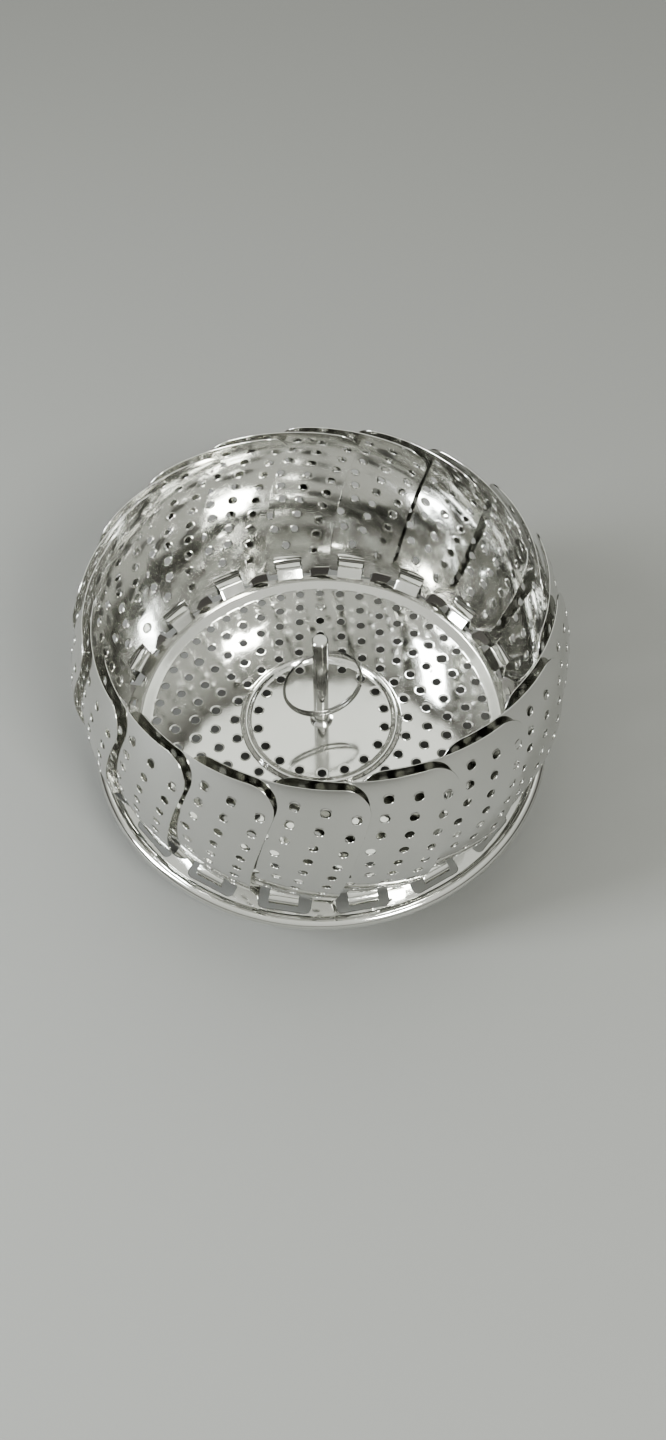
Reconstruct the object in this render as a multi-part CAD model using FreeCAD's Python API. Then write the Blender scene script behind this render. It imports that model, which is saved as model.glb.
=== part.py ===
"""Folding petal steamer basket in stainless steel sheet: a perforated pan on three folding
legs, eighteen overlapping petals hooked round its edge, and a centre post with a lift ring.

Millimetres, +Z up. The origin is on the surface the feet stand on, under the basket's axis.
Every piece is drawn from the centre of the plate's top face, and export lifts it to its place.
Azimuths are measured anticlockwise from +X, and petal_01 stands on the +X side.
"""
import FreeCAD
import Part
import math
import os

from FreeCAD import Vector

os.makedirs("parts", exist_ok=True)

# ---- driving dimensions ----
PLATE_HEIGHT = 33.0
PETAL_COUNT = 18
PETAL_STEP = 360.0 / PETAL_COUNT
LEG_AZIMUTHS = (90.0, 210.0, 330.0)
CUT_REACH = 6.0

# pan: top-face profile radii and heights
PAN_SHEET = 0.7
PLATE_EDGE_R = 67.4
CREST_R = 71.6
CREST_Z = 1.9
SLOPE_MIDDLE = 0.6
SLOPE_RISE = 0.75
FLANGE_IN_R = 73.6
FLANGE_IN_Z = 1.55
FLANGE_OUT_R = 84.6
FLANGE_OUT_Z = -1.3
RIM_CENTRE_R = 86.7
RIM_CENTRE_Z = -0.6
RIM_R = 2.4
RIM_START_ANGLE = 205.0
RIM_END_ANGLE = -70.0
BEAD_CENTRE_R = 29.8
BEAD_HALF = 2.2
BEAD_HEIGHT = 1.4

# perforations of the plate: (circle radius, hole count, azimuth of the first hole)
HOLE_R = 1.8
HOLE_CIRCLES = (
    (25.4, 18, 10.0),
    (34.4, 24, 0.0),
    (42.3, 30, 6.0),
    (50.1, 36, 0.0),
    (57.9, 42, 30.0 / 7.0),
    (65.3, 48, 0.0),
)
MOUNT_CIRCLE = 4
FREE_HOLE_R = 2.15
FREE_HOLE_AZIMUTH = 30.0
RIVET_R = 1.5
RIVET_HEAD_R = 2.1
RIVET_HEAD = 0.35
RIVET_TAIL = 0.55
RIVET_BEVEL = 0.2

# petal: a patch of a sphere whose centre is offset sideways, so that each one laps its neighbour
HINGE_R = 77.4
HINGE_Z = 2.1
PETAL_SHEET = 0.45
SPHERE_R = 83.0
SPHERE_SIDE = 8.5
PETAL_TOP_Z = 79.1
PETAL_TOP_R = 77.5
BASE_HALF = 16.5
SIDE_SLOPE = 0.187
TOP_CORNER_R = 9.5
BAR_HALF_HEIGHT = 0.9
TAB_HALF = 9.0
SHOULDER_Z = 0.5
SHOULDER_CORNER_R = 2.5
CUT_CORNER_Z = 6.5
CUT_CORNER_R = 7.0
WINDOW_HALF = 6.0
WINDOW_TOP = 6.4
WINDOW_DEPTH = 16.0
PETAL_HOLE_R = 1.65
OUTLINE_REACH = 30.0

# petal holes as (sideways, height above the hinge) of the first one, step to the next, and count
OUTER_COLUMN = (11.4, 9.3, 1.70, 7.15, 9)
INNER_COLUMN = (4.2, 18.8, 1.62, 7.2, 8)
CENTRE_COLUMN = (0.0, 34.0, 0.0, 7.5, 3)
SPLIT_COLUMN = (3.3, 56.6, 1.4, 6.9, 3)
LOWEST_HOLE_Z = 11.3

# hooks of the pan that the petals' bottom bars turn in
HOOK_SHEET = 0.7
HOOK_ROOT = 1.0
HOOK_INNER_R = 1.85
HOOK_REACH = 2.0
HOOK_HALF = 5.2
HOOK_TAIL_ANGLE = -35.0
OPENING_HALF = 9.65
OPENING_IN_R = 74.2
OPENING_OUT_R = 83.0
OPENING_CORNER = 2.2

# centre post, collar, nut and ring
POST_R = 3.0
POST_TOP_Z = 50.0
POST_BEVEL = 0.45
STUD_R = 2.0
STUD_BOTTOM_Z = -6.2
COLLAR_R = 4.6
COLLAR_EDGE_Z = 0.75
COLLAR_TOP_Z = 1.5
COLLAR_TOP_R = 3.5
COLLAR_SHANK_R = 3.1
NUT_FLATS = 8.0
NUT_TOP_Z = -1.2
NUT_HEIGHT = 3.2
RING_HOLE_Z = 42.0
RING_HOLE_R = 1.1
RING_HOLE_AZIMUTH = 15.0
RING_R = 15.0
RING_WIRE_R = 0.54
RING_LEAN = 12.0
RING_SPREAD = 1.7
RING_ARC = 252.0

# legs, in a frame with X outwards along the leg's azimuth
LEG_RIVET_R = HOLE_CIRCLES[MOUNT_CIRCLE][0]
PIVOT_R = 61.6
PIVOT_Z = -4.6
PIN_R = 1.0
PIN_HEAD_R = 1.5
PIN_HEAD = 0.6
PIN_CLEARANCE = 0.05
FOOT_Z = -PLATE_HEIGHT
FOOT_R = 64.4
LEG_HALF_WIDTH = 4.8
LEG_SHEET = 1.0
BARREL_R = 2.0
BARREL_LAP = 0.5
FOOT_LENGTH = 6.0
BRACKET_SHEET = 0.8
EAR_IN = 5.2
EAR_R = 2.7
BRACKET_IN_R = 53.4

UP = Vector(0, 0, 1)
CENTRE = Vector(0, 0, 0)


def at(radius, height):
    """Point of the XZ plane, where profiles are drawn before they are revolved."""
    return Vector(radius, 0, height)


def polar(radius, azimuth, height=0.0):
    turn = math.radians(azimuth)
    return Vector(radius * math.cos(turn), radius * math.sin(turn), height)


def line(start, end):
    return Part.LineSegment(start, end).toShape()


def arc(start, middle, end):
    return Part.Arc(start, middle, end).toShape()


def face_of(edges):
    return Part.Face(Part.Wire(edges))


def cylinder(radius, height, base, direction=UP):
    return Part.makeCylinder(radius, height, base, direction)


def turned(shape, azimuth):
    """A copy of a shape turned about the basket's axis."""
    copy = shape.copy()
    copy.rotate(CENTRE, UP, azimuth)
    return copy


def arc_points(centre, radius, start, end):
    """Start, middle and end of an arc in the XZ plane, by its angles in degrees."""
    return [
        centre + at(radius * math.cos(math.radians(a)), radius * math.sin(math.radians(a)))
        for a in (start, (start + end) / 2, end)
    ]


def rounded_face(corners):
    """Flat face inside an outline of (corner, radius) pairs, radius 0 for a sharp corner."""
    starts = []
    bends = []
    for index, (corner, radius) in enumerate(corners):
        back = (corners[index - 1][0] - corner).normalize()
        ahead = (corners[(index + 1) % len(corners)][0] - corner).normalize()
        half = back.getAngle(ahead) / 2
        inward = (back + ahead).normalize()
        run = radius / math.tan(half)
        middle = corner + inward * (radius / math.sin(half) - radius)
        starts.append(corner + back * run)
        bends.append((corner + back * run, middle, corner + ahead * run))
    edges = []
    for index, (start, middle, end) in enumerate(bends):
        if corners[index][1] > 0:
            edges.append(arc(start, middle, end))
        edges.append(line(end, starts[(index + 1) % len(starts)]))
    return face_of(edges)


def strip(top_edges, thickness):
    """Profile of a sheet in the XZ plane: the edges of its top face and the same edges below."""
    start = top_edges[0].firstVertex().Point
    end = top_edges[-1].lastVertex().Point
    drop = at(0, -thickness)
    lower = [edge.translated(drop) for edge in top_edges]
    edges = top_edges + lower + [line(start, start + drop), line(end, end + drop)]
    return Part.Face(Part.Wire(Part.__sortEdges__(edges)))


# ---- pan ----
def pan_disc():
    """Plate, bead, crest and flange in one revolved sheet."""
    bead_in = at(BEAD_CENTRE_R - BEAD_HALF, 0)
    bead_out = at(BEAD_CENTRE_R + BEAD_HALF, 0)
    plate_edge = at(PLATE_EDGE_R, 0)
    slope_middle = at(PLATE_EDGE_R + SLOPE_MIDDLE * (CREST_R - PLATE_EDGE_R), SLOPE_RISE * CREST_Z)
    crest = at(CREST_R, CREST_Z)
    flange_in = at(FLANGE_IN_R, FLANGE_IN_Z)
    top_edges = [
        line(at(0, 0), bead_in),
        arc(bead_in, at(BEAD_CENTRE_R, BEAD_HEIGHT), bead_out),
        line(bead_out, plate_edge),
        arc(plate_edge, slope_middle, crest),
        line(crest, flange_in),
        line(flange_in, at(FLANGE_OUT_R, FLANGE_OUT_Z)),
    ]
    return strip(top_edges, PAN_SHEET).revolve(CENTRE, UP, 360)


def rolled_rim():
    """The edge, rolled outwards and back under itself into an open curl."""
    centre = at(RIM_CENTRE_R, RIM_CENTRE_Z)
    outer = arc_points(centre, RIM_R, RIM_START_ANGLE, RIM_END_ANGLE)
    inner = arc_points(centre, RIM_R - PAN_SHEET, RIM_END_ANGLE, RIM_START_ANGLE)
    section = face_of([
        arc(*outer),
        line(outer[2], inner[0]),
        arc(*inner),
        line(inner[2], outer[0]),
    ])
    return section.revolve(CENTRE, UP, 360)


def opening_cutter():
    """The flange opening under one petal, on the +X side, with rounded outer corners."""
    outline = rounded_face([
        (Vector(OPENING_IN_R, -OPENING_HALF, -CUT_REACH), 0),
        (Vector(OPENING_OUT_R, -OPENING_HALF, -CUT_REACH), OPENING_CORNER),
        (Vector(OPENING_OUT_R, OPENING_HALF, -CUT_REACH), OPENING_CORNER),
        (Vector(OPENING_IN_R, OPENING_HALF, -CUT_REACH), 0),
    ])
    return outline.extrude(Vector(0, 0, 2 * CUT_REACH))


def hook():
    """Sheet tongue on the +X side that passes over the petal's bar and bends down outside it."""
    pivot = at(HINGE_R, HINGE_Z)
    nose = pivot + at(HOOK_REACH, 0)
    inner_r = HOOK_INNER_R
    outer_r = HOOK_INNER_R + HOOK_SHEET
    middle_r = inner_r + HOOK_SHEET / 2
    root = at(OPENING_IN_R - HOOK_ROOT, FLANGE_IN_Z - PAN_SHEET / 2)
    to_pivot = pivot - root
    rise = math.degrees(math.atan2(to_pivot.z, to_pivot.x) + math.asin(middle_r / to_pivot.Length))
    normal = at(-math.sin(math.radians(rise)), math.cos(math.radians(rise)))
    shoulder_out = arc_points(pivot, outer_r, 90 + rise, 90)
    shoulder_in = arc_points(pivot, inner_r, 90, 90 + rise)
    bend_out = arc_points(nose, outer_r, 90, HOOK_TAIL_ANGLE)
    bend_in = arc_points(nose, inner_r, HOOK_TAIL_ANGLE, 90)
    root_out = root + normal * (HOOK_SHEET / 2)
    root_in = root - normal * (HOOK_SHEET / 2)
    section = face_of([
        line(root_out, shoulder_out[0]),
        arc(*shoulder_out),
        line(shoulder_out[2], bend_out[0]),
        arc(*bend_out),
        line(bend_out[2], bend_in[0]),
        arc(*bend_in),
        line(bend_in[2], shoulder_in[0]),
        arc(*shoulder_in),
        line(shoulder_in[2], root_in),
        line(root_in, root_out),
    ])
    section.translate(Vector(0, -HOOK_HALF, 0))
    return section.extrude(Vector(0, 2 * HOOK_HALF, 0))


def on_third(azimuth, first):
    """Whether an azimuth is one of three that start at first and are 120 degrees apart."""
    past = (azimuth - first) % 120.0
    return min(past, 120.0 - past) < 0.01


def upright_cutter(radius, place):
    return cylinder(radius, 2 * CUT_REACH, place - UP * CUT_REACH)


def plate_cutters():
    """Round cutters for the perforations, the leg rivets, the free holes and the collar."""
    cutters = [upright_cutter(COLLAR_SHANK_R, CENTRE)]
    for index, (circle_r, count, first) in enumerate(HOLE_CIRCLES):
        for number in range(count):
            azimuth = first + number * 360.0 / count
            radius = HOLE_R
            if index == MOUNT_CIRCLE and on_third(azimuth, LEG_AZIMUTHS[0]):
                radius = RIVET_R
            if index == MOUNT_CIRCLE and on_third(azimuth, FREE_HOLE_AZIMUTH):
                radius = FREE_HOLE_R
            cutters.append(upright_cutter(radius, polar(circle_r, azimuth)))
    return cutters


def base_pan():
    pan = pan_disc().fuse(rolled_rim())
    opening = opening_cutter()
    openings = [turned(opening, k * PETAL_STEP) for k in range(PETAL_COUNT)]
    pan = pan.cut(Part.makeCompound(openings))
    tongue = hook()
    hooks = [turned(tongue, k * PETAL_STEP) for k in range(PETAL_COUNT)]
    pan = pan.fuse(hooks)
    return pan.cut(Part.makeCompound(plate_cutters()))


# ---- petals ----
def sphere_centre():
    """Centre of the petal's sphere, for a petal on the +X side: through the hinge and the top."""
    hinge = at(HINGE_R, HINGE_Z)
    top = at(PETAL_TOP_R, PETAL_TOP_Z)
    chord = top - hinge
    in_plane_r = math.sqrt(SPHERE_R ** 2 - SPHERE_SIDE ** 2)
    reach = math.sqrt(in_plane_r ** 2 - (chord.Length / 2) ** 2)
    inward = at(-chord.z, chord.x) / chord.Length
    return (hinge + top) / 2 + inward * reach + Vector(0, SPHERE_SIDE, 0)


def ball(radius):
    """A sphere about the petals' centre, with its seam and poles away from the petal."""
    solid = Part.makeSphere(radius)
    solid.rotate(CENTRE, UP, 180)
    solid.translate(sphere_centre())
    return solid


def side(height):
    """Half width of a petal at a height above its hinge."""
    return BASE_HALF + SIDE_SLOPE * height


def petal_outline():
    """Fan-shaped outline in the YZ plane, with a bar tab below and one bottom corner cut off."""
    top = PETAL_TOP_Z - HINGE_Z
    corners = (
        (-TAB_HALF, -BAR_HALF_HEIGHT, 0),
        (TAB_HALF, -BAR_HALF_HEIGHT, 0),
        (TAB_HALF, SHOULDER_Z, 0),
        (BASE_HALF, SHOULDER_Z, SHOULDER_CORNER_R),
        (side(top), top, TOP_CORNER_R),
        (-side(top), top, TOP_CORNER_R),
        (-side(CUT_CORNER_Z), CUT_CORNER_Z, CUT_CORNER_R),
        (-TAB_HALF, SHOULDER_Z, 0),
    )
    return rounded_face([
        (Vector(0, sideways, HINGE_Z + height), radius) for sideways, height, radius in corners
    ])


def petal_hole_places():
    """Sideways offset and height above the hinge of every hole of a petal."""
    places = [(0.0, LOWEST_HOLE_Z)]
    for first_y, first_z, step_y, step_z, count in (
        OUTER_COLUMN, INNER_COLUMN, CENTRE_COLUMN, SPLIT_COLUMN,
    ):
        for number in range(count):
            sideways = first_y + number * step_y
            height = first_z + number * step_z
            mirrored = (sideways, -sideways) if sideways else (0.0,)
            places += [(y, height) for y in mirrored]
    return places


def petal():
    """The petal on the +X side."""
    shell = ball(SPHERE_R + PETAL_SHEET / 2).cut(ball(SPHERE_R - PETAL_SHEET / 2))
    outline = petal_outline()
    outline.translate(Vector(HINGE_R - OUTLINE_REACH, 0, 0))
    sheet = shell.common(outline.extrude(Vector(2 * OUTLINE_REACH, 0, 0)))
    centre = sphere_centre()
    window = Part.makeBox(
        WINDOW_DEPTH, 2 * WINDOW_HALF, WINDOW_TOP - BAR_HALF_HEIGHT,
        Vector(HINGE_R - WINDOW_DEPTH / 2, -WINDOW_HALF, HINGE_Z + BAR_HALF_HEIGHT),
    )
    cutters = [window]
    for sideways, height in petal_hole_places():
        offset = Vector(0, sideways - centre.y, HINGE_Z + height - centre.z)
        depth = math.sqrt(SPHERE_R ** 2 - offset.y ** 2 - offset.z ** 2)
        outward = Vector(depth, offset.y, offset.z).normalize()
        start = centre + outward * (SPHERE_R - CUT_REACH)
        cutters.append(cylinder(PETAL_HOLE_R, 2 * CUT_REACH, start, outward))
    return sheet.cut(Part.makeCompound(cutters))


# ---- post, collar, nut and lift ring ----
def ring_axis():
    return polar(1.0, RING_HOLE_AZIMUTH)


def center_post():
    post = cylinder(POST_R, POST_TOP_Z - COLLAR_TOP_Z, Vector(0, 0, COLLAR_TOP_Z))
    top_edges = [edge for edge in post.Edges if edge.BoundBox.ZMin > POST_TOP_Z - POST_BEVEL]
    post = post.makeChamfer(POST_BEVEL, top_edges)
    stud = cylinder(STUD_R, COLLAR_TOP_Z - STUD_BOTTOM_Z, Vector(0, 0, STUD_BOTTOM_Z))
    start = Vector(0, 0, RING_HOLE_Z) - ring_axis() * (2 * POST_R)
    return post.fuse(stud).cut(cylinder(RING_HOLE_R, 4 * POST_R, start, ring_axis()))


def post_collar():
    """Flanged eyelet that stiffens the plate where the post stands."""
    profile = Part.makePolygon([
        at(STUD_R, NUT_TOP_Z),
        at(COLLAR_SHANK_R, NUT_TOP_Z),
        at(COLLAR_SHANK_R, 0),
        at(COLLAR_R, 0),
        at(COLLAR_R, COLLAR_EDGE_Z),
        at(COLLAR_TOP_R, COLLAR_TOP_Z),
        at(STUD_R, COLLAR_TOP_Z),
        at(STUD_R, NUT_TOP_Z),
    ])
    return Part.Face(profile).revolve(CENTRE, UP, 360)


def post_nut():
    corner_r = NUT_FLATS / math.sqrt(3)
    bottom = NUT_TOP_Z - NUT_HEIGHT
    corners = [polar(corner_r, 60 * k, bottom) for k in range(7)]
    body = Part.Face(Part.makePolygon(corners)).extrude(Vector(0, 0, NUT_HEIGHT))
    return body.cut(cylinder(STUD_R, 3 * NUT_HEIGHT, Vector(0, 0, bottom - NUT_HEIGHT)))


def ring_half(way):
    """One end of the split ring's wire: an arc from the post's hole round past the far side."""
    section = Part.Face(Part.Wire(Part.makeCircle(RING_WIRE_R, CENTRE, Vector(1, 0, 0))))
    wire = section.revolve(Vector(0, 0, -RING_R), Vector(0, way, 0), RING_ARC)
    wire.rotate(CENTRE, Vector(1, 0, 0), way * RING_SPREAD)
    return wire


def lift_ring():
    """Split ring of round wire hanging from the post's hole, its two ends lapping below."""
    ring = ring_half(1).fuse(ring_half(-1))
    ring.rotate(CENTRE, Vector(1, 0, 0), -RING_LEAN)
    ring.rotate(CENTRE, UP, RING_HOLE_AZIMUTH)
    ring.translate(Vector(0, 0, RING_HOLE_Z))
    return ring


# ---- legs, drawn on the +X side ----
def across_leg(profile, half_width):
    """A side view in the XZ plane made into a plate of that half width about the leg's middle."""
    profile.translate(Vector(0, -half_width, 0))
    return profile.extrude(Vector(0, 2 * half_width, 0))


def pivot_cylinder(radius, half_width):
    return cylinder(radius, 2 * half_width, Vector(PIVOT_R, -half_width, PIVOT_Z), Vector(0, 1, 0))


def leg():
    """Sheet leg: a rolled barrel on its pin, a shank leaning outwards and a flat foot."""
    pivot = at(PIVOT_R, PIVOT_Z)
    heel = at(FOOT_R, FOOT_Z)
    down = heel - pivot
    down.normalize()
    across = at(-down.z, down.x) * LEG_SHEET
    top = pivot + down * (BARREL_R - BARREL_LAP)
    reach = (FOOT_Z + LEG_SHEET - top.z - across.z) / down.z
    profile = Part.Face(Part.makePolygon([
        top,
        top + across,
        top + across + down * reach,
        at(FOOT_R + FOOT_LENGTH, FOOT_Z + LEG_SHEET),
        at(FOOT_R + FOOT_LENGTH, FOOT_Z),
        heel,
        top,
    ]))
    shank = across_leg(profile, LEG_HALF_WIDTH)
    barrel = pivot_cylinder(BARREL_R, LEG_HALF_WIDTH)
    bore = pivot_cylinder(PIN_R + PIN_CLEARANCE, 2 * LEG_HALF_WIDTH)
    return shank.fuse(barrel).cut(bore)


def leg_bracket():
    """U-shaped bracket under the plate: a base with the rivet's hole, and two ears for the pin."""
    outer = EAR_IN + BRACKET_SHEET
    under = -PAN_SHEET - BRACKET_SHEET
    base = Part.makeBox(
        PIVOT_R + EAR_R - BRACKET_IN_R, 2 * outer, BRACKET_SHEET,
        Vector(BRACKET_IN_R, -outer, under),
    )
    ear = Part.Face(Part.makePolygon([
        at(PIVOT_R - EAR_R, under + BRACKET_SHEET),
        at(PIVOT_R + EAR_R, under + BRACKET_SHEET),
        at(PIVOT_R + EAR_R, PIVOT_Z),
        at(PIVOT_R - EAR_R, PIVOT_Z),
        at(PIVOT_R - EAR_R, under + BRACKET_SHEET),
    ]))
    ears = across_leg(ear, outer).fuse(pivot_cylinder(EAR_R, outer))
    gap = Part.makeBox(
        4 * EAR_R, 2 * EAR_IN, 4 * EAR_R, Vector(PIVOT_R - 2 * EAR_R, -EAR_IN, under - 4 * EAR_R),
    )
    bracket = base.fuse(ears.cut(gap))
    bracket = bracket.cut(pivot_cylinder(PIN_R, 2 * outer))
    return bracket.cut(upright_cutter(RIVET_R, at(LEG_RIVET_R, under)))


def leg_pin():
    """Pin through both ears, headed outside each."""
    outer = EAR_IN + BRACKET_SHEET
    shank = pivot_cylinder(PIN_R, outer)
    return shank.fuse([
        cylinder(PIN_HEAD_R, PIN_HEAD, Vector(PIVOT_R, way * outer, PIVOT_Z), Vector(0, way, 0))
        for way in (-1, 1)
    ])


def leg_rivet():
    """Rivet with a low flat head on the plate and another under the bracket."""
    under = -PAN_SHEET - BRACKET_SHEET
    shank = cylinder(RIVET_R, -under, at(LEG_RIVET_R, under))
    head = cylinder(RIVET_HEAD_R, RIVET_HEAD, at(LEG_RIVET_R, 0))
    top_edges = [edge for edge in head.Edges if edge.BoundBox.ZMin > RIVET_HEAD - RIVET_BEVEL]
    head = head.makeChamfer(RIVET_BEVEL, top_edges)
    tail = cylinder(RIVET_HEAD_R, RIVET_TAIL, at(LEG_RIVET_R, under - RIVET_TAIL))
    return shank.fuse([head, tail])


# ---- export ----
def export(name, shape):
    """Write one piece, lifted so that the feet stand at height 0."""
    shape.translated(UP * PLATE_HEIGHT).exportStep(f"parts/{name}.step")


export("base_pan", base_pan())
first_petal = petal()
for number in range(PETAL_COUNT):
    export(f"petal_{number + 1:02d}", turned(first_petal, number * PETAL_STEP))
export("center_post", center_post())
export("post_collar", post_collar())
export("post_nut", post_nut())
export("lift_ring", lift_ring())
for number, azimuth in enumerate(LEG_AZIMUTHS, start=1):
    for name, make in (
        ("leg", leg), ("leg_bracket", leg_bracket), ("leg_pin", leg_pin), ("leg_rivet", leg_rivet),
    ):
        export(f"{name}_{number}", turned(make(), azimuth))
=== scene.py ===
"""Looks of a folding stainless-steel steamer basket: perforated pan, petals, post, ring and legs.

The pan and the petals are built here as fine sheet meshes, in millimetres, with height 0 on the
plate's top face and the basket's axis as Z. mm() turns them into the frame's metres. Lights, camera
and floor are in metres.
"""
import math

import bpy
import numpy as np
from mathutils import Matrix, Vector
from mathutils.geometry import delaunay_2d_cdt

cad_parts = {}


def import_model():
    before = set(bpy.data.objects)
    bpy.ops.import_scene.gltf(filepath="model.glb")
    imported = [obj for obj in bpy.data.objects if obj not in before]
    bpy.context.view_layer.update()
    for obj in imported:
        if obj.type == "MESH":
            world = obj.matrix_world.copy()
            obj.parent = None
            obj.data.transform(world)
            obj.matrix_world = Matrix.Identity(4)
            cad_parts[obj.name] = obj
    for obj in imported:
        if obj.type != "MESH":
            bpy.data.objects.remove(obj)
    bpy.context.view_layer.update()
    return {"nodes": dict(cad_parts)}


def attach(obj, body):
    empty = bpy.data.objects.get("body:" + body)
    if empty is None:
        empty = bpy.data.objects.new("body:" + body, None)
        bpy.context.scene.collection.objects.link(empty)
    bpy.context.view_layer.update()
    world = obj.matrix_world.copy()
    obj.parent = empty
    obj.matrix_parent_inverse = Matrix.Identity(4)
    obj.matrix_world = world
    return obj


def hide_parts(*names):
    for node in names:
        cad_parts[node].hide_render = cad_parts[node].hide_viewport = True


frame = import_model()

# ---- sizes of the object, in millimetres and degrees ----
MM = 0.001
PLATE_Z = 33.0
PETAL_COUNT = 18
PETAL_STEP = 360.0 / PETAL_COUNT
LEG_STEP = 120.0

# pan: section from the plate out to the rolled rim
PAN_SHEET = 0.7
BEAD_R = 29.8
BEAD_HALF = 2.35
BEAD_HEIGHT = 1.4
SLOPE_IN_R = 67.3
CREST_R = 71.3
CREST_Z = 1.85
FLANGE_IN_R = 73.6
FLANGE_IN_Z = 1.5
GUTTER_R = 84.25
GUTTER_Z = -1.2
PROFILE_SOFTNESS = 0.7
RIM_R = 86.7
RIM_Z = -0.6
RIM_TUBE = 2.4
RIM_FILLET = 0.25

# the leg rivets each fill a hole of one circle, which has a wider hole halfway between each two
MOUNT_CIRCLE_R = 57.9
RIVET_AZIMUTH = 90.0
FREE_HOLE_AZIMUTH = 30.0
FREE_HOLE_R = 2.15
# plate holes, by circle: its radius, how many holes, azimuth of the first
HOLE_R = 1.8
HOLE_CIRCLES = (
    (25.4, 18, 10.0),
    (34.4, 24, 0.0),
    (42.3, 30, 6.0),
    (50.1, 36, 0.0),
    (MOUNT_CIRCLE_R, 42, 30.0 / 7.0),
    (65.3, 48, 0.0),
)
COLLAR_HOLE_R = 3.1
# depth and reach of the dip that a punch leaves round a hole
DIMPLE = 0.12
DIMPLE_REACH = 0.30

# petal: outline over its hinge, on a sphere whose centre is off to one side
HINGE_R = 77.4
HINGE_Z = 2.1
PETAL_SHEET = 0.45
# how far the upper corner on the +Y side is bent towards the petal that it laps
SETTLE = 0.8
SPHERE_R = 83.0
SPHERE_SIDE = 8.5
PETAL_TOP_R = 77.5
PETAL_TOP = 77.0
BASE_HALF = 16.5
SIDE_SLOPE = 0.187
TOP_CORNER_R = 9.5
BAR_HALF = 0.9
BAR_CORNER_R = 0.3
TAB_HALF = 9.0
SHOULDER = 0.5
SHOULDER_CORNER_R = 2.5
CUT_CORNER = 6.5
CUT_CORNER_R = 7.0
WINDOW_HALF = 6.0
WINDOW_TOP = 6.4
WINDOW_CORNER_R = 0.7
PETAL_HOLE_R = 1.65
PETAL_DIMPLE = 0.13
LOWEST_HOLE = 11.3
# hole columns, mirrored where off the middle: sideways and height of the lowest hole, steps of both,
# how many holes
HOLE_COLUMNS = (
    (11.4, 9.3, 1.70, 7.15, 9),
    (4.2, 18.8, 1.62, 7.2, 8),
    (0.0, 34.0, 0.0, 7.5, 3),
    (3.3, 56.6, 1.4, 6.9, 3),
)

# hooks cut from the flange's openings, which hold the petals' bars
HOOK_ROOT_R = 73.2
HOOK_BEND_R = 2.2
HOOK_REACH = 2.0
HOOK_HALF = 5.2
HOOK_TAIL_ANGLE = -35.0
HOOK_CORNER_R = 1.3
HOOK_SHEET = 0.68
HOOK_EDGE_TURN = 0.10
OPENING_HALF = 9.65
OPENING_IN_R = 74.2
OPENING_OUT_R = 83.0
OPENING_CORNER_R = 2.2
OPENING_ROOT_CORNER_R = 0.4

# ---- fineness of the meshes, in millimetres ----
RIM_SEGMENTS = 540
HOLE_SEGMENTS = 24
COLLAR_SEGMENTS = 48
# distances from a hole's edge to the rings of points round it, the first being the edge itself
HOLE_RINGS = (0.0, 0.16, 0.36, 0.62, 1.0)
# rows of free points of the pan, as first radius, last radius and step, closer where it bends
PAN_ROWS = (
    (6.0, 26.5, 2.5),
    (26.9, 33.0, 0.4),
    (35.0, 66.0, 2.2),
    (66.6, 75.0, 0.45),
    (75.5, 84.0, 1.0),
)
PAN_PITCH = 1.3
PAN_MIDDLE_R = 26.0
PAN_MIDDLE_PITCH = 2.5
OPENING_PITCH = 1.0
PETAL_PITCH = 1.8
PETAL_ROW_HALF = 32.0
PETAL_EDGE_PITCH = 1.1
WINDOW_PITCH = 0.9
# least gaps from the free points to the outermost ring round a hole, and to the other edges
PAN_HOLE_GAP = 0.4
PAN_EDGE_GAP = 0.55
PETAL_HOLE_GAP = 0.5
PETAL_EDGE_GAP = 0.7
# how much of half the sheet's thickness its rounded edges stand out
EDGE_BULGE = 0.55
# twice the area below which a triangle is only rounding error along a straight edge
SLIVER = 0.001


def mm(points):
    """Points in millimetres, with height 0 on the plate's top face, as metres over the table."""
    return (np.asarray(points, float) + (0, 0, PLATE_Z)) * MM


def unit(vectors):
    """Each vector at length 1."""
    return vectors / np.linalg.norm(vectors, axis=-1, keepdims=True)


def turned(points, azimuth):
    """Points or directions turned about the basket's axis, in degrees."""
    angle = math.radians(azimuth)
    cos, sin = math.cos(angle), math.sin(angle)
    spin = np.array([[cos, -sin, 0], [sin, cos, 0], [0, 0, 1]])
    return points @ spin.T


# ---- meshes ----
class Shell:
    """Vertices, faces and corner normals of one piece, gathered from parts."""

    def __init__(self):
        self.points = []
        self.faces = []
        self.normals = []
        self.count = 0

    def add(self, points, faces, normals):
        """faces index these points; normals has one row for each corner, in the faces' order."""
        start = self.count
        self.points.append(np.asarray(points, float))
        self.faces += [[start + int(i) for i in face] for face in faces]
        self.normals.append(np.asarray(normals, float))
        self.count += len(points)

    def add_turned(self, other, azimuth):
        points = np.vstack(other.points)
        self.add(turned(points, azimuth), other.faces, turned(np.vstack(other.normals), azimuth))

    def build(self, name):
        mesh = bpy.data.meshes.new(name)
        mesh.from_pydata(mm(np.vstack(self.points)).tolist(), [], self.faces)
        mesh.polygons.foreach_set("use_smooth", [True] * len(mesh.polygons))
        mesh.normals_split_custom_set(unit(np.vstack(self.normals)).tolist())
        mesh.update()
        return mesh


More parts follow.
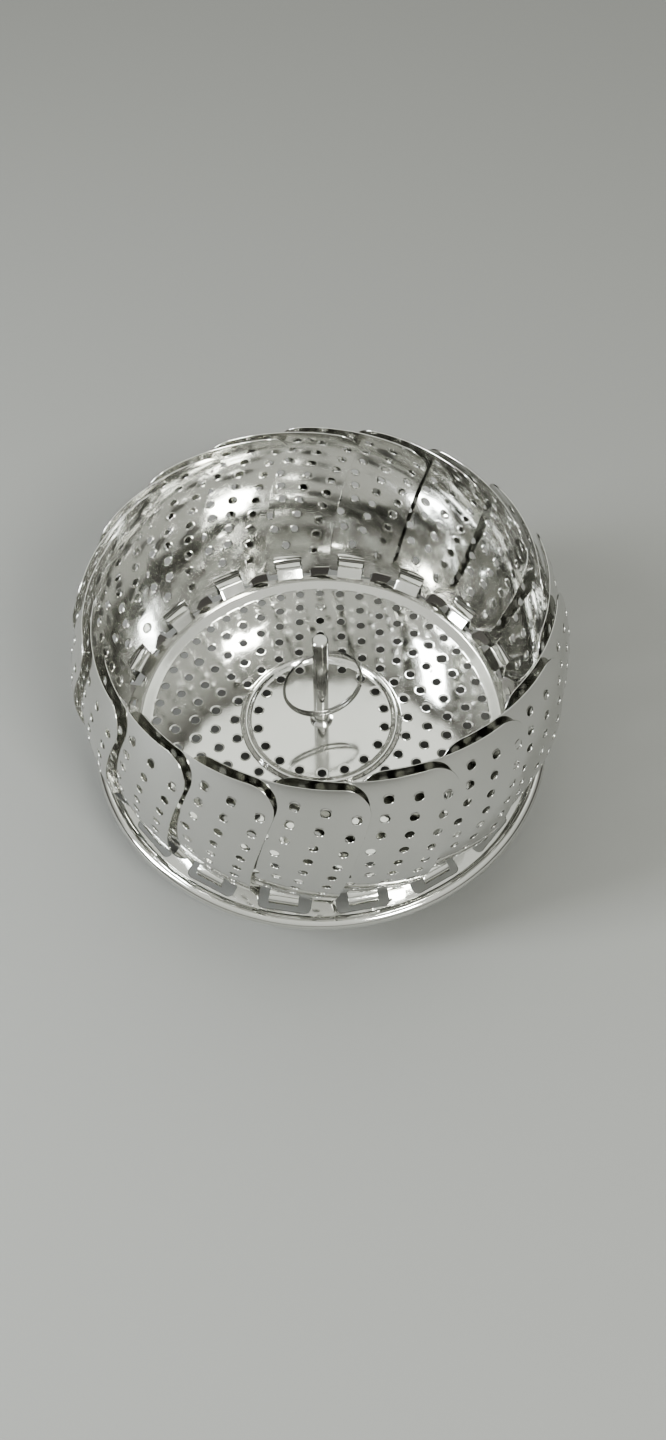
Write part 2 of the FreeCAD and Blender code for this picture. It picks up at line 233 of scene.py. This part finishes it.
def add_sheet(shell, points, normals, triangles, thickness, sharp=()):
    """Close a sheet about its middle surface with rounded edges, left open between the sharp points."""
    count = len(points)
    half = thickness / 2
    starts = triangles.ravel()
    ends = np.roll(triangles, -1, axis=1).ravel()
    free = ~np.isin(starts * count + ends, ends * count + starts)
    open_point = np.zeros(count, bool)
    open_point[list(sharp)] = True
    free &= ~(open_point[starts] & open_point[ends])
    a, b = starts[free], ends[free]
    outward = np.zeros((count, 3))
    across = np.cross(points[b] - points[a], normals[a])
    np.add.at(outward, a, across)
    np.add.at(outward, b, across)
    edge = np.unique(a)
    outward[edge] = unit(outward[edge])
    middle = np.zeros(count, int)
    middle[edge] = 2 * count + np.arange(len(edge))
    bulge = points[edge] + outward[edge] * (EDGE_BULGE * half)
    soft_top = unit(normals + outward)
    soft_bottom = unit(outward - normals)
    top = triangles
    bottom = triangles[:, ::-1] + count
    upper = np.stack([b, a, middle[a], middle[b]], axis=1)
    lower = np.stack([middle[b], middle[a], a + count, b + count], axis=1)
    rows = [
        normals[top].reshape(-1, 3),
        -normals[triangles[:, ::-1]].reshape(-1, 3),
        np.stack([soft_top[b], soft_top[a], outward[a], outward[b]], axis=1).reshape(-1, 3),
        np.stack([outward[b], outward[a], soft_bottom[a], soft_bottom[b]], axis=1).reshape(-1, 3),
    ]
    faces = top.tolist() + bottom.tolist() + upper.tolist() + lower.tolist()
    shell.add(np.vstack([points + normals * half, points - normals * half, bulge]), faces, np.vstack(rows))


def rounded_outline(corners, spacing):
    """Points along a closed outline of (x, y, radius) corners, evenly spaced on its runs."""
    made = []
    spots = [np.array(corner[:2], float) for corner in corners]
    for index, corner in enumerate(corners):
        here = spots[index]
        back = unit(spots[index - 1] - here)
        ahead = unit(spots[(index + 1) % len(spots)] - here)
        half = math.acos(float(np.clip(back @ ahead, -1, 1))) / 2
        radius = corner[2]
        run = radius / math.tan(half)
        centre = here + unit(back + ahead) * (radius / math.sin(half))
        start, end = here + back * run, here + ahead * run
        steps = max(1, round(radius * (math.pi - 2 * half) / (0.5 * spacing))) if radius else 0
        if steps:
            first, last = start - centre, end - centre
            sweep = math.atan2(first[0] * last[1] - first[1] * last[0], float(first @ last))
            for step in range(steps + 1):
                angle = sweep * step / steps
                cos, sin = math.cos(angle), math.sin(angle)
                made.append(centre + (cos * first[0] - sin * first[1], sin * first[0] + cos * first[1]))
        else:
            made.append(here)
    closed = []
    for index, point in enumerate(made):
        following = made[(index + 1) % len(made)]
        parts = max(1, round(float(np.linalg.norm(following - point)) / spacing))
        closed += [point + (following - point) * k / parts for k in range(parts)]
    return np.array(closed)


def inside(points, outline):
    """Even-odd test of points against a closed outline."""
    x, y = points[:, 0], points[:, 1]
    result = np.zeros(len(points), bool)
    for (x0, y0), (x1, y1) in zip(outline, np.roll(outline, -1, axis=0)):
        if y0 != y1:
            crosses = (y0 > y) != (y1 > y)
            result ^= crosses & (x < (x1 - x0) * (y - y0) / (y1 - y0) + x0)
    return result


def nearest(points, others):
    """Distance from each point to the nearest of the others, in blocks to save memory."""
    best = np.full(len(points), np.inf)
    for start in range(0, len(others), 400):
        block = others[start:start + 400]
        gap = np.linalg.norm(points[:, None, :] - block[None, :, :], axis=2).min(axis=1)
        best = np.minimum(best, gap)
    return best


def triangulate(loops, free_points, keep):
    """Triangles over the loops' points and the free points; keep() picks them by their centres."""
    points = np.vstack([*loops, free_points])
    edges = []
    start = 0
    for loop in loops:
        size = len(loop)
        edges += [(start + k, start + (k + 1) % size) for k in range(size)]
        start += size
    found = delaunay_2d_cdt([Vector(p) for p in points], edges, [], 0, 1e-5, True)
    back = [sources[0] for sources in found[3]]
    triangles = np.array([[back[i] for i in face] for face in found[2]])
    triangles = triangles[keep(points[triangles].mean(axis=1))]
    a, b, c = (points[triangles[:, k]] for k in range(3))
    turn = (b[:, 0] - a[:, 0]) * (c[:, 1] - a[:, 1]) - (b[:, 1] - a[:, 1]) * (c[:, 0] - a[:, 0])
    triangles[turn < 0] = triangles[turn < 0][:, ::-1]
    return points, triangles[np.abs(turn) > SLIVER]


def dimple(distance, radius, depth):
    """Depth and slope of the sheet's dip towards a punched hole's edge."""
    past = np.maximum(distance - radius, 0) / DIMPLE_REACH
    dip = depth * np.exp(-past * past)
    return dip, -2 * past / DIMPLE_REACH * dip


# ---- pan ----
def pan_profile(radius):
    """Height of the pan's top face, with its bends softened."""
    knots_r = (0.0, SLOPE_IN_R, CREST_R, FLANGE_IN_R, GUTTER_R + 2)
    fall = (GUTTER_Z - FLANGE_IN_Z) / (GUTTER_R - FLANGE_IN_R)
    knots_z = (0.0, 0.0, CREST_Z, FLANGE_IN_Z, GUTTER_Z + 2 * fall)
    total = np.zeros_like(radius)
    steps = np.linspace(-1, 1, 9)
    for step in steps:
        total += np.interp(radius + step * PROFILE_SOFTNESS, knots_r, knots_z)
    height = total / len(steps)
    bead = np.clip((radius - BEAD_R) / BEAD_HALF, -1, 1)
    return height + BEAD_HEIGHT * 0.5 * (1 + np.cos(math.pi * bead))


def at_third(azimuth, first):
    """Whether an azimuth is that of the first leg or a third of a turn or two from it."""
    past = (azimuth - first) % LEG_STEP
    return min(past, LEG_STEP - past) < 0.01


def pan_holes():
    """Centre and radius of every round hole of the plate, without those the rivets fill."""
    holes = []
    for circle_r, count, first in HOLE_CIRCLES:
        for number in range(count):
            azimuth = first + number * 360.0 / count
            radius = HOLE_R
            if circle_r == MOUNT_CIRCLE_R:
                if at_third(azimuth, RIVET_AZIMUTH):
                    continue
                radius = FREE_HOLE_R if at_third(azimuth, FREE_HOLE_AZIMUTH) else HOLE_R
            angle = math.radians(azimuth)
            holes.append((circle_r * math.cos(angle), circle_r * math.sin(angle), radius))
    return holes


def circle(radius, count, centre=(0.0, 0.0)):
    """Points evenly spaced round a circle in the plane."""
    angles = np.arange(count) * 2 * math.pi / count
    return np.stack([np.cos(angles), np.sin(angles)], axis=1) * radius + centre


def opening_outline():
    """The flange's opening for the petal on the +X side."""
    return rounded_outline([
        (OPENING_IN_R, -OPENING_HALF, OPENING_ROOT_CORNER_R),
        (OPENING_OUT_R, -OPENING_HALF, OPENING_CORNER_R),
        (OPENING_OUT_R, OPENING_HALF, OPENING_CORNER_R),
        (OPENING_IN_R, OPENING_HALF, OPENING_ROOT_CORNER_R),
    ], OPENING_PITCH)


def pan_rows():
    """Free points in rings, closer where the profile bends."""
    radii = np.concatenate([np.arange(*row) for row in PAN_ROWS])
    rows = []
    for radius in radii:
        pitch = PAN_PITCH if radius > PAN_MIDDLE_R else PAN_MIDDLE_PITCH
        rows.append(circle(radius, int(2 * math.pi * radius / pitch)))
    return np.vstack(rows)


def pan_surface():
    """Middle points, normals and triangles of the perforated disc up to the gutter."""
    holes = pan_holes()
    opening = opening_outline()
    flat_opening = np.column_stack([opening, np.zeros(len(opening))])
    openings = [turned(flat_opening, k * PETAL_STEP)[:, :2] for k in range(PETAL_COUNT)]
    loops = [circle(GUTTER_R, RIM_SEGMENTS), circle(COLLAR_HOLE_R, COLLAR_SEGMENTS)]
    loops += [circle(r, HOLE_SEGMENTS, (x, y)) for x, y, r in holes]
    loops += openings
    rings = [
        circle(r + step, HOLE_SEGMENTS, (x, y)) for x, y, r in holes for step in HOLE_RINGS[1:]
    ]
    rows = pan_rows()
    centres = np.array(holes)
    rows = rows[nearest(rows, centres[:, :2]) > HOLE_R + HOLE_RINGS[-1] + PAN_HOLE_GAP]
    rows = rows[nearest(rows, np.vstack(openings)) > PAN_EDGE_GAP]

    def keep(spots):
        radius = np.linalg.norm(spots, axis=1)
        good = (radius < GUTTER_R) & (radius > COLLAR_HOLE_R)
        for outline in openings:
            near = np.linalg.norm(spots - outline.mean(axis=0), axis=1) < 2 * OPENING_HALF
            good[near] &= ~inside(spots[near], outline)
        for x, y, r in holes:
            good &= np.hypot(spots[:, 0] - x, spots[:, 1] - y) > 0.97 * r
        return good

    flat, triangles = triangulate(loops, np.vstack([*rings, rows]), keep)
    radius = np.linalg.norm(flat, axis=1)
    height = pan_profile(radius)
    step = 0.02
    rise = (pan_profile(radius + step) - pan_profile(radius - step)) / (2 * step)
    slope = flat / radius[:, None] * rise[:, None]
    for x, y, r in holes:
        near = np.flatnonzero(np.hypot(flat[:, 0] - x, flat[:, 1] - y) < r + 4 * DIMPLE_REACH)
        away = flat[near] - (x, y)
        distance = np.linalg.norm(away, axis=1)
        dip, fall = dimple(distance, r, DIMPLE)
        height[near] -= dip
        slope[near] -= away / distance[:, None] * fall[:, None]
    normals = unit(np.column_stack([-slope, np.ones(len(flat))]))
    top = np.column_stack([flat, height])
    return top - normals * (PAN_SHEET / 2), normals, triangles


def rim_profile():
    """Section of the rolled rim as (r, z) points from the pan's top face round to its bottom face."""
    def roll(radius, degrees):
        """Points round the rolled tube, whose open side faces the table."""
        return [
            (RIM_R + radius * math.cos(a), RIM_Z + radius * math.sin(a)) for a in np.radians(degrees)
        ]

    fillet = [
        (GUTTER_R + RIM_FILLET * math.sin(a), GUTTER_Z + RIM_FILLET * (1 - math.cos(a)))
        for a in np.radians((20, 45, 70))
    ]
    outer = roll(RIM_TUBE, np.arange(182, -71, -9))
    tip = roll(RIM_TUBE - PAN_SHEET / 2, [-80])
    inner = roll(RIM_TUBE - PAN_SHEET, np.arange(-70, 181, 10))
    back = [(RIM_R - RIM_TUBE + 0.5, RIM_Z - 1.0), (GUTTER_R + 0.2, GUTTER_Z - PAN_SHEET - 0.05)]
    return fillet + outer + tip + inner + back


def add_rim(shell, top_row, bottom_row):
    """Lathe the rolled rim between the disc's two outer rows of vertices."""
    section = np.array(rim_profile())
    first = np.array([GUTTER_R, GUTTER_Z])
    last = np.array([GUTTER_R, GUTTER_Z - PAN_SHEET])
    line = np.vstack([first, section, last])
    along = np.gradient(line, axis=0)
    across = unit(np.column_stack([-along[:, 1], along[:, 0]]))
    angles = np.arange(RIM_SEGMENTS) * 2 * math.pi / RIM_SEGMENTS
    cos, sin = np.cos(angles), np.sin(angles)

    def spun(pairs):
        return np.stack([
            pairs[:, :1] * cos, pairs[:, :1] * sin, np.repeat(pairs[:, 1:], len(angles), axis=1),
        ], axis=2)

    normals = spun(across)
    points = spun(section).reshape(-1, 3)
    base = shell.count + np.arange(len(section) * RIM_SEGMENTS).reshape(len(section), -1)
    grid = np.vstack([top_row, base, bottom_row])
    following = np.roll(grid, -1, axis=1)
    turned_normals = np.roll(normals, -1, axis=1)
    faces, rows = [], []
    for k in range(len(grid) - 1):
        quad = np.stack([grid[k], grid[k + 1], following[k + 1], following[k]], axis=1)
        faces += (quad - shell.count).tolist()
        rows.append(np.stack([
            normals[k], normals[k + 1], turned_normals[k + 1], turned_normals[k],
        ], axis=1).reshape(-1, 3))
    shell.add(points, faces, np.vstack(rows))


def hook_line():
    """Middle line of a hook in the XZ plane: out of the flange, over the petal's bar and down."""
    pivot = np.array([HINGE_R, HINGE_Z])
    root = np.array([HOOK_ROOT_R, FLANGE_IN_Z - PAN_SHEET / 2])
    nose = pivot + (HOOK_REACH, 0)
    to_pivot = pivot - root
    rise = math.atan2(to_pivot[1], to_pivot[0]) + math.asin(HOOK_BEND_R / np.linalg.norm(to_pivot))
    shoulder = [
        pivot + HOOK_BEND_R * np.array([math.cos(a), math.sin(a)])
        for a in np.linspace(math.pi / 2 + rise, math.pi / 2, 8)
    ]
    bend = [
        nose + HOOK_BEND_R * np.array([math.cos(a), math.sin(a)])
        for a in np.linspace(math.pi / 2, math.radians(HOOK_TAIL_ANGLE), 14)
    ]
    rising = [root + (shoulder[0] - root) * k / 6 for k in range(6)]
    return np.array(rising + shoulder + bend)


def hook():
    """The pan's hook for the petal on the +X side, with the corners of its tail rounded."""
    line = hook_line()
    along = np.gradient(line, axis=0)
    across = unit(np.column_stack([-along[:, 1], along[:, 0]]))
    length = np.concatenate([[0], np.cumsum(np.linalg.norm(np.diff(line, axis=0), axis=1))])
    corner_start = length[-1] - HOOK_CORNER_R
    corner = length[-1] - HOOK_CORNER_R * (1 - np.sin(np.linspace(0, math.pi / 2, 7)))
    stations = np.unique(np.concatenate([length[length < corner_start], corner]))
    columns = np.linspace(-1, 1, 13)
    points, normals = [], []
    for station in stations:
        spot = [np.interp(station, length, line[:, k]) for k in (0, 1)]
        normal = unit(np.array([np.interp(station, length, across[:, k]) for k in (0, 1)]))
        past = max(0.0, station - corner_start)
        half = HOOK_HALF - HOOK_CORNER_R + math.sqrt(max(HOOK_CORNER_R ** 2 - past ** 2, 0))
        for column in columns:
            points.append((spot[0], half * column, spot[1]))
            normals.append((normal[0], HOOK_EDGE_TURN * column ** 5, normal[1]))
    triangles = []
    width = len(columns)
    for row in range(len(stations) - 1):
        for column in range(width - 1):
            first = row * width + column
            triangles.append((first, first + width, first + width + 1))
            triangles.append((first, first + width + 1, first + 1))
    shell = Shell()
    add_sheet(shell, np.array(points), unit(np.array(normals)), np.array(triangles), HOOK_SHEET)
    return shell


def pan_mesh():
    """The whole pan: perforated disc, rolled rim and one hook for each petal."""
    shell = Shell()
    points, normals, triangles = pan_surface()
    outer = np.arange(RIM_SEGMENTS)
    add_sheet(shell, points, normals, triangles, PAN_SHEET, sharp=outer)
    add_rim(shell, outer, outer + len(points))
    tongue = hook()
    for k in range(PETAL_COUNT):
        shell.add_turned(tongue, k * PETAL_STEP)
    return shell.build("steamer_pan")


# ---- petals ----
def sphere_centre():
    """Centre of the sphere that runs from the petal's hinge up to its top edge."""
    hinge = np.array([HINGE_R, HINGE_Z])
    top = np.array([PETAL_TOP_R, HINGE_Z + PETAL_TOP])
    chord = top - hinge
    length = np.linalg.norm(chord)
    reach = math.sqrt(SPHERE_R ** 2 - SPHERE_SIDE ** 2 - (length / 2) ** 2)
    spot = (hinge + top) / 2 + np.array([-chord[1], chord[0]]) / length * reach
    return np.array([spot[0], SPHERE_SIDE, spot[1]])


def petal_holes():
    """Sideways place and height over the hinge of each of a petal's holes."""
    places = [(0.0, LOWEST_HOLE)]
    for first_y, first_z, step_y, step_z, count in HOLE_COLUMNS:
        for number in range(count):
            sideways = first_y + number * step_y
            height = first_z + number * step_z
            places += [(y, height) for y in ((sideways, -sideways) if sideways else (0.0,))]
    return np.array(places)


def petal_side(height):
    """Half of the petal's width at a height over its hinge."""
    return BASE_HALF + SIDE_SLOPE * height


def on_sphere(flat, centre):
    """Outward normals of the petal's sphere over points given as sideways and height."""
    offset = flat + (0, HINGE_Z) - centre[1:]
    depth = np.sqrt(SPHERE_R ** 2 - (offset ** 2).sum(axis=1))
    return np.column_stack([depth, offset]) / SPHERE_R


def petal_outline():
    """The petal's edge: the bar's tab, a shoulder on one side of it and a cut corner on the other."""
    return rounded_outline([
        (-TAB_HALF, -BAR_HALF, BAR_CORNER_R),
        (TAB_HALF, -BAR_HALF, BAR_CORNER_R),
        (TAB_HALF, SHOULDER, 0.0),
        (BASE_HALF, SHOULDER, SHOULDER_CORNER_R),
        (petal_side(PETAL_TOP), PETAL_TOP, TOP_CORNER_R),
        (-petal_side(PETAL_TOP), PETAL_TOP, TOP_CORNER_R),
        (-petal_side(CUT_CORNER), CUT_CORNER, CUT_CORNER_R),
        (-TAB_HALF, SHOULDER, 0.0),
    ], PETAL_EDGE_PITCH)


def petal_window():
    """The window over the bar, which the pan's hook comes through."""
    return rounded_outline([
        (-WINDOW_HALF, BAR_HALF, WINDOW_CORNER_R),
        (WINDOW_HALF, BAR_HALF, WINDOW_CORNER_R),
        (WINDOW_HALF, WINDOW_TOP, WINDOW_CORNER_R),
        (-WINDOW_HALF, WINDOW_TOP, WINDOW_CORNER_R),
    ], WINDOW_PITCH)


def petal_hole_rings(axes, centre):
    """Rings round each hole, which are circles on the sphere: the edges, and the rings outside them."""
    edges, outer = [], []
    angles = np.arange(HOLE_SEGMENTS) * 2 * math.pi / HOLE_SEGMENTS
    for axis in axes:
        across = unit(np.cross(axis, (0, 0, 1)))
        upward = np.cross(across, axis)
        around = np.cos(angles)[:, None] * across + np.sin(angles)[:, None] * upward
        for step in HOLE_RINGS:
            bend = math.asin((PETAL_HOLE_R + step) / SPHERE_R)
            spots = centre + SPHERE_R * (math.cos(bend) * axis + math.sin(bend) * around)
            ring = spots[:, 1:] - (0, HINGE_Z)
            if step:
                outer.append(ring)
            else:
                edges.append(ring)
    return edges, outer


def petal_rows():
    """Free points in staggered rows over the petal's whole height and width."""
    along = np.arange(-PETAL_ROW_HALF, PETAL_ROW_HALF, PETAL_PITCH)
    heights = np.arange(0.0, PETAL_TOP, PETAL_PITCH * math.sqrt(3) / 2)
    rows = []
    for index, height in enumerate(heights):
        shift = PETAL_PITCH / 2 if index % 2 else 0.0
        rows.append(np.column_stack([along + shift, np.full(len(along), height)]))
    return np.vstack(rows)


def petal_surface():
    """Middle points, normals and triangles of the petal on the +X side."""
    centre = sphere_centre()
    outline = petal_outline()
    window = petal_window()
    places = petal_holes()
    axes = on_sphere(places, centre)
    hole_loops, outer_rings = petal_hole_rings(axes, centre)
    rows = petal_rows()
    rows = rows[inside(rows, outline) & ~inside(rows, window)]
    rows = rows[nearest(rows, np.vstack([outline, window])) > PETAL_EDGE_GAP]
    rows = rows[nearest(rows, places) > PETAL_HOLE_R + HOLE_RINGS[-1] + PETAL_HOLE_GAP]

    def keep(spots):
        good = inside(spots, outline) & ~inside(spots, window)
        for loop in hole_loops:
            near = np.linalg.norm(spots - loop.mean(axis=0), axis=1) < PETAL_HOLE_R + 0.35
            good[near] &= ~inside(spots[near], loop)
        return good

    loops = [outline, window, *hole_loops]
    flat, triangles = triangulate(loops, np.vstack([*outer_rings, rows]), keep)
    normals = on_sphere(flat, centre)
    points = centre + SPHERE_R * normals
    bent = normals.copy()
    for axis in axes:
        hole = centre + SPHERE_R * axis
        near = np.flatnonzero(np.linalg.norm(points - hole, axis=1) < PETAL_HOLE_R + 4 * DIMPLE_REACH)
        away = points[near] - hole
        away -= (away * normals[near]).sum(axis=1)[:, None] * normals[near]
        distance = np.linalg.norm(away, axis=1)
        dip, fall = dimple(distance, PETAL_HOLE_R, PETAL_DIMPLE)
        bent[near] -= away / distance[:, None] * fall[:, None]
        points[near] += normals[near] * dip[:, None]
    # the bent upper corner, and how far it turns the normals
    side = np.maximum(flat[:, 0], 0) / petal_side(flat[:, 1])
    height = np.maximum(flat[:, 1], 0) / PETAL_TOP
    points -= normals * (SETTLE * side ** 3 * height ** 2)[:, None]
    bent[:, 1] += 3 * SETTLE * side ** 2 * height ** 2 / petal_side(flat[:, 1])
    bent[:, 2] += 2 * SETTLE * side ** 3 * height / PETAL_TOP
    return points, unit(bent), triangles


def petal_mesh():
    """One petal, which every petal node shares."""
    shell = Shell()
    add_sheet(shell, *petal_surface(), PETAL_SHEET)
    return shell.build("steamer_petal")


# ---- materials ----
# noise scales are per metre, and wave sizes and depths are in metres
GRAIN_SCALE = 900.0
POLISH_SCALE = 110.0
TINT_SCALE = 35.0
# share of a steel's roughness where it is polished most and least
MOST_POLISH = 0.6
LEAST_POLISH = 2.2
# share of a steel's colour where it is darkest
TINT = (0.93, 0.94, 0.93)
# spreads the objects' random numbers, so that no two petals share a pattern
PATTERN_SPREAD = 37.0


def steel(name, colour, roughness, wave_size, wave_depth, grain_depth):
    """Polished stainless steel: a rippled mirror with faint uneven polish and fine wear."""
    material = bpy.data.materials.new(name)
    material.use_nodes = True
    nodes, links = material.node_tree.nodes, material.node_tree.links
    surface = nodes["Principled BSDF"]
    surface.inputs["Metallic"].default_value = 1.0

    def add(kind, **inputs):
        node = nodes.new(kind)
        for key, value in inputs.items():
            node.inputs[key].default_value = value
        return node

    place = nodes.new("ShaderNodeTexCoord").outputs["Object"]
    chance = nodes.new("ShaderNodeObjectInfo").outputs["Random"]
    shift = nodes.new("ShaderNodeMath")
    shift.operation = "MULTIPLY"
    shift.inputs[1].default_value = PATTERN_SPREAD
    links.new(chance, shift.inputs[0])

    def noise(scale, detail, rough=0.5):
        node = add("ShaderNodeTexNoise", Scale=scale, Detail=detail, Roughness=rough)
        node.noise_dimensions = "4D"
        links.new(place, node.inputs["Vector"])
        links.new(shift.outputs[0], node.inputs["W"])
        return node.outputs["Fac"]

    wave = add("ShaderNodeBump", Strength=1.0, Distance=wave_depth)
    links.new(noise(1.0 / wave_size, 2.0), wave.inputs["Height"])
    grain = add("ShaderNodeBump", Strength=1.0, Distance=grain_depth)
    links.new(noise(GRAIN_SCALE, 3.0), grain.inputs["Height"])
    links.new(wave.outputs["Normal"], grain.inputs["Normal"])
    links.new(grain.outputs["Normal"], surface.inputs["Normal"])

    polish = nodes.new("ShaderNodeMapRange")
    polish.inputs["From Min"].default_value = 0.3
    polish.inputs["From Max"].default_value = 0.7
    polish.inputs["To Min"].default_value = roughness * MOST_POLISH
    polish.inputs["To Max"].default_value = roughness * LEAST_POLISH
    links.new(noise(POLISH_SCALE, 5.0, 0.65), polish.inputs["Value"])
    links.new(polish.outputs["Result"], surface.inputs["Roughness"])

    tint = nodes.new("ShaderNodeMix")
    tint.data_type = "RGBA"
    tint.inputs["A"].default_value = (*colour, 1.0)
    tint.inputs["B"].default_value = (*(part * share for part, share in zip(colour, TINT)), 1.0)
    links.new(noise(TINT_SCALE, 4.0, 0.6), tint.inputs["Factor"])
    links.new(tint.outputs["Result"], surface.inputs["Base Color"])
    return material


STEEL_PAN = steel(
    "pan_steel", (0.76, 0.755, 0.735), roughness=0.07,
    wave_size=0.026, wave_depth=0.00010, grain_depth=0.0000008,
)
STEEL_PETAL = steel(
    "petal_steel", (0.76, 0.755, 0.74), roughness=0.07,
    wave_size=0.030, wave_depth=0.00006, grain_depth=0.0000008,
)
# The post's steel has a darker colour than the pan's as painted shade: it is the same stainless steel,
# darkened to stand for the dim surroundings it mirrors.
POST_STEEL_PAINTED_SHADE = steel(
    "post_steel_painted_shade", (0.62, 0.615, 0.60), roughness=0.09,
    wave_size=0.020, wave_depth=0.000002, grain_depth=0.0000006,
)
# The ring's wire has a darker colour still, as painted shade: it is the same stainless steel, darkened to
# stand for the dim surroundings it mirrors.
WIRE_STEEL_PAINTED_SHADE = steel(
    "wire_steel_painted_shade", (0.50, 0.495, 0.48), roughness=0.12,
    wave_size=0.010, wave_depth=0.00001, grain_depth=0.0000010,
)
STEEL_LEG = steel(
    "leg_steel", (0.66, 0.655, 0.64), roughness=0.22,
    wave_size=0.015, wave_depth=0.00005, grain_depth=0.0000020,
)


def place_piece(name, mesh, body, material, slot, *nodes, azimuth=0.0):
    """Show a mesh as a piece of the object that stands for CAD nodes and rides on a body."""
    piece = bpy.data.objects.new(name, mesh)
    bpy.context.scene.collection.objects.link(piece)
    piece.matrix_world = Matrix.Rotation(math.radians(azimuth), 4, "Z")
    if not mesh.materials:
        mesh.materials.append(material)
    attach(piece, body)
    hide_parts(*nodes)


place_piece("steamer_pan", pan_mesh(), "base", STEEL_PAN, "pan", "base_pan")
petal_data = petal_mesh()
for number in range(PETAL_COUNT):
    node = f"petal_{number + 1:02d}"
    place_piece(
        "steamer_" + node, petal_data, node, STEEL_PETAL, "petals", node, azimuth=number * PETAL_STEP,
    )

# the CAD nodes that stay visible: post, ring, and the legs with their fittings
CAD_FINISHES = {
    "center_post": POST_STEEL_PAINTED_SHADE,
    "post_collar": POST_STEEL_PAINTED_SHADE,
    "post_nut": POST_STEEL_PAINTED_SHADE,
    "lift_ring": WIRE_STEEL_PAINTED_SHADE,
}
for name, thing in frame["nodes"].items():
    if thing.hide_render:
        continue
    thing.data.materials.clear()
    thing.data.materials.append(CAD_FINISHES.get(name, STEEL_LEG))


# ---- stage, in metres ----
FLOOR_REACH = 4.0
LIGHT_AIM = (0, 0, 0.05)
# camera: angle over the horizon, distance, and turns about the basket's axis and the line of view
ELEVATION = math.radians(56.04)
DISTANCE = 0.4180
TURN = math.radians(-0.875)
ROLL = math.radians(-0.073)
VIEW_CENTRE = (0.00463, -0.00091, PLATE_Z * MM)
LENS = 26.3
SENSOR = 36.0
# how far the studio's brightest direction leans from straight up to the front side
SKY_LEAN = math.radians(18.7)
# colour of the studio by the cosine of the angle from that direction
SKY = (
    (0.0, (0.11, 0.106, 0.10)),
    (0.3, (0.20, 0.195, 0.185)),
    (0.6, (0.56, 0.57, 0.54)),
    (1.0, (0.66, 0.67, 0.64)),
)


def area_light(name, place, size, power, colour):
    """A soft rectangular light that faces the basket."""
    data = bpy.data.lights.new(name, "AREA")
    data.shape = "RECTANGLE"
    data.size, data.size_y = size
    data.energy = power
    data.color = colour
    lamp = bpy.data.objects.new(name, data)
    bpy.context.scene.collection.objects.link(lamp)
    lamp.location = place
    lamp.rotation_euler = (Vector(LIGHT_AIM) - Vector(place)).to_track_quat("-Z", "Y").to_euler()


def floor():
    """A plain pale floor."""
    mesh = bpy.data.meshes.new("floor")
    sides = ((-1, -1), (1, -1), (1, 1), (-1, 1))
    corners = [(x * FLOOR_REACH, y * FLOOR_REACH, 0) for x, y in sides]
    mesh.from_pydata(corners, [], [(0, 1, 2, 3)])
    plane = bpy.data.objects.new("floor", mesh)
    bpy.context.scene.collection.objects.link(plane)
    material = bpy.data.materials.new("floor_paint")
    material.use_nodes = True
    surface = material.node_tree.nodes["Principled BSDF"]
    surface.inputs["Base Color"].default_value = (0.36, 0.36, 0.35, 1.0)
    surface.inputs["Roughness"].default_value = 0.65
    mesh.materials.append(material)


def camera():
    """Looks down on the basket's front side."""
    back = Vector((0, -math.cos(ELEVATION), math.sin(ELEVATION)))
    right = Vector((1, 0, 0))
    upward = back.cross(right)
    tilted_right = math.cos(ROLL) * right + math.sin(ROLL) * upward
    tilted_up = math.cos(ROLL) * upward - math.sin(ROLL) * right
    place = Vector(VIEW_CENTRE) + back * DISTANCE
    pose = Matrix((
        (tilted_right.x, tilted_up.x, back.x, place.x),
        (tilted_right.y, tilted_up.y, back.y, place.y),
        (tilted_right.z, tilted_up.z, back.z, place.z),
        (0, 0, 0, 1),
    ))
    data = bpy.data.cameras.new("camera")
    data.lens = LENS
    data.sensor_width = SENSOR
    data.clip_start = 0.01
    eye = bpy.data.objects.new("camera", data)
    bpy.context.scene.collection.objects.link(eye)
    eye.matrix_world = Matrix.Rotation(TURN, 4, "Z") @ pose
    bpy.context.scene.camera = eye


def world():
    """A soft studio, brightest high on the front side and dim at the horizon behind."""
    studio = bpy.data.worlds.new("studio")
    bpy.context.scene.world = studio
    studio.use_nodes = True
    nodes, links = studio.node_tree.nodes, studio.node_tree.links
    toward = nodes.new("ShaderNodeVectorMath")
    toward.operation = "DOT_PRODUCT"
    toward.inputs[1].default_value = (0, -math.sin(SKY_LEAN), math.cos(SKY_LEAN))
    links.new(nodes.new("ShaderNodeTexCoord").outputs["Generated"], toward.inputs[0])
    ramp = nodes.new("ShaderNodeValToRGB")
    links.new(toward.outputs["Value"], ramp.inputs["Fac"])
    links.new(ramp.outputs["Color"], nodes["Background"].inputs["Color"])
    stops = ramp.color_ramp.elements
    while len(stops) < len(SKY):
        stops.new(0.5)
    for stop, (position, colour) in zip(stops, SKY):
        stop.position = position
        stop.color = (*colour, 1.0)


floor()
camera()
world()
area_light("back_softbox", (0.0, 1.1, 1.4), size=(2.2, 1.1), power=2.5, colour=(0.96, 1.0, 0.93))
area_light("front_key", (0.45, -0.75, 0.95), size=(0.3, 0.3), power=5.5, colour=(0.98, 1.0, 0.96))
area_light("left_window", (-0.9, -0.25, 0.75), size=(0.25, 0.6), power=7.0, colour=(0.93, 0.97, 1.0))
# polished sheets face one another, so light is followed through many reflections
bpy.context.scene.cycles.glossy_bounces = 12
bpy.context.scene.cycles.max_bounces = 16
bpy.context.scene.view_settings.look = "AgX - Very High Contrast"
bpy.context.scene.view_settings.exposure = -0.1
